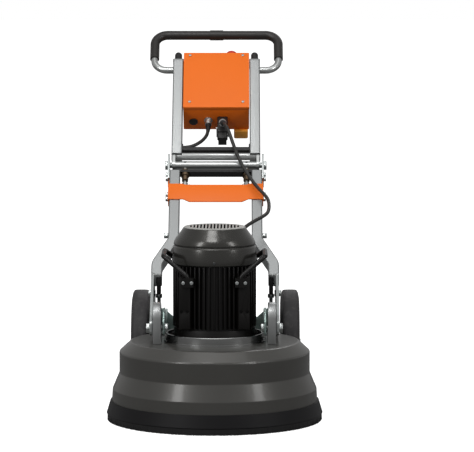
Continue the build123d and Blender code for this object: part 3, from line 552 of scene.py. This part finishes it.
# ------------------------------------------------------------------ tyres
wheel_low, wheel_high = (Vector(c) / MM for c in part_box("tyre_left"))
WHEEL_R = (wheel_high.z - wheel_low.z) / 2
WHEEL_Y = (wheel_high.y + wheel_low.y) / 2 - HEAD_Y
HALF = (wheel_high.x - wheel_low.x) / 2
TYRE_MID = abs(wheel_high.x + wheel_low.x) / 2
tyre_outline = [(108, -HALF + 5), (112, -HALF + 1.2), (120, -HALF + 0.6), (122, -HALF + 2.0), (125, -HALF + 2.0),
                (127, -HALF + 0.3), (WHEEL_R - 22, -HALF), (WHEEL_R - 9, -HALF + 2.6),
                (WHEEL_R - 2.6, -HALF + 6), (WHEEL_R - 0.7, -HALF + 9), (WHEEL_R - 0.1, -HALF * 0.3)]
tyre_outline += [(r, -a) for r, a in reversed(tyre_outline)]
for side, name in ((-1, "left"), (1, "right")):
    tyre = turned_piece(f"tyre_tread_{name}", tyre_outline, f"wheel_{name}", "tyre",
                        centre=(WHEEL_Y, WHEEL_R), height=side * TYRE_MID, steps=160)
    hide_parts(f"tyre_{name}")

# ------------------------------------------------------------------ bristles
# Two rows, the inner one half a step round, so that no light shows between the tufts. Each tuft is a
# tapered box from the rail down to a tip that leans and ends by chance.
TUFTS = 900
rng = np.random.default_rng(7)
rows = []
for row_r, half_step in ((287.0, 0.0), (284.6, 0.5)):
    turn = (np.arange(TUFTS) + half_step) * 2 * math.pi / TUFTS
    spread = np.stack([np.cos(turn), np.sin(turn), np.zeros(TUFTS)], -1)
    side = np.stack([-np.sin(turn), np.cos(turn), np.zeros(TUFTS)], -1)
    root = row_r * spread + [0, HEAD_Y, 18.0]
    tip = root + rng.uniform(-0.5, 0.9, TUFTS)[:, None] * spread
    tip[:, 2] = 0.9 + rng.uniform(0, 1.2, TUFTS)
    rows.append(np.stack(
        [root + spread * a + side * b for a, b in ((-1.1, -1.02), (1.1, -1.02), (1.1, 1.02), (-1.1, 1.02))]
        + [tip + spread * a + side * b for a, b in ((-0.9, -0.9), (0.8, -0.9), (0.8, 0.9), (-0.9, 0.9))], 1))
verts = np.concatenate(rows).reshape(-1, 3) * MM
one_tuft = np.array([(0, 1, 5, 4), (1, 2, 6, 5), (2, 3, 7, 6), (3, 0, 4, 7), (4, 5, 6, 7), (3, 2, 1, 0)])
faces = (np.arange(2 * TUFTS)[:, None, None] * 8 + one_tuft[None]).reshape(-1, 4)
tuft_mesh = bpy.data.meshes.new("bristle_tufts")
tuft_mesh.from_pydata(verts.tolist(), [], faces.tolist())
tufts = link("bristle_tufts", tuft_mesh)
dress(tufts, "bristle")
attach(tufts, "head")
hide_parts("brush_strip")

# ------------------------------------------------------------------ small screws on the head
SCREW_RING = 112.4 - 0.6     # from the head's axis to the foot of each screw head
SCREW_Z = 431
places = []
for degrees in (-90, 0, 90, 180):
    aim = Vector((math.cos(math.radians(degrees)), math.sin(math.radians(degrees)), 0))
    places.append((at(*(aim * SCREW_RING).xy, SCREW_Z), aim))
head_screw("fan_cover_screws", places, "head", "steel_dark", 3.6, 2.6)


# ------------------------------------------------------------------ box fittings
def fitting(c):
    """The finish of each box fitting: 0 zinc, 1 black plastic, 2 yellow, by where it stands on the box."""
    s, v = mast_s(c)
    x = c.x / MM
    if v > 0:
        return 0
    if s < 700:
        return 1 if x < -45 else 0
    return 2 if x > 25 else 1


eased("box_fittings", 0.5, ["zinc", "plastic", "yellow"], pick=fitting)

# ------------------------------------------------------------------ light and floor
world = bpy.data.worlds.new("studio")
scene.world = world
world.use_nodes = True
sky = world.node_tree
sky.nodes.clear()
seen = node(sky, "LightPath")
level = node(sky, "MapRange", {"To Min": 0.40, "To Max": 1.0}, {"Value": seen.outputs["Is Camera Ray"]})
shade = node(sky, "Background", {"Color": (1, 1, 1, 1)}, {"Strength": level.outputs[0]})
sky.links.new(shade.outputs[0], sky.nodes.new("ShaderNodeOutputWorld").inputs[0])


def panel(name, place, target, size, power):
    """A soft rectangular light aimed at a point."""
    data = bpy.data.lights.new(name, "AREA")
    data.shape = "RECTANGLE"
    data.size, data.size_y = size
    data.energy = power
    light = bpy.data.objects.new(name, data)
    light.location = place
    light.rotation_euler = (Vector(target) - Vector(place)).to_track_quat("-Z", "Y").to_euler()
    scene.collection.objects.link(light)


panel("key", (-2.3, -2.6, 2.5), (0, -0.1, 0.4), (0.7, 2.2), 42)
panel("fill", (2.6, -2.1, 2.4), (0, -0.1, 0.4), (0.7, 2.0), 26)
panel("top", (0, -0.5, 3.4), (0, 0, 0.4), (2.6, 1.6), 13)
panel("rear", (0.7, 3.0, 2.7), (0, 0, 0.5), (2.0, 1.2), 18)
panel("front top", (-0.3, -1.7, 3.1), (0, -0.3, 0.5), (1.1, 0.7), 22)

floor_mesh = bpy.data.meshes.new("floor")
floor_mesh.from_pydata([(-30, -12, 0), (30, -12, 0), (30, 60, 0), (-30, 60, 0)], [], [(0, 1, 2, 3)])
floor = link("floor", floor_mesh)
floor_look = bpy.data.materials.new("white studio floor")
floor_look.use_nodes = True
tree = floor_look.node_tree
tree.nodes.clear()
seen = node(tree, "LightPath")
bounce = node(tree, "BsdfDiffuse", {"Color": (0.22, 0.22, 0.22, 1)})
pale = node(tree, "BsdfPrincipled", {"Base Color": (0.8, 0.8, 0.8, 1), "Roughness": 0.9, "Specular IOR Level": 0.0,
                                     "Emission Color": (1, 1, 1, 1), "Emission Strength": 0.84})
both = node(tree, "MixShader", None, {0: seen.outputs["Is Camera Ray"], 1: bounce.outputs[0], 2: pale.outputs[0]})
node(tree, "OutputMaterial", None, {"Surface": both.outputs[0]})
floor.data.materials.append(floor_look)
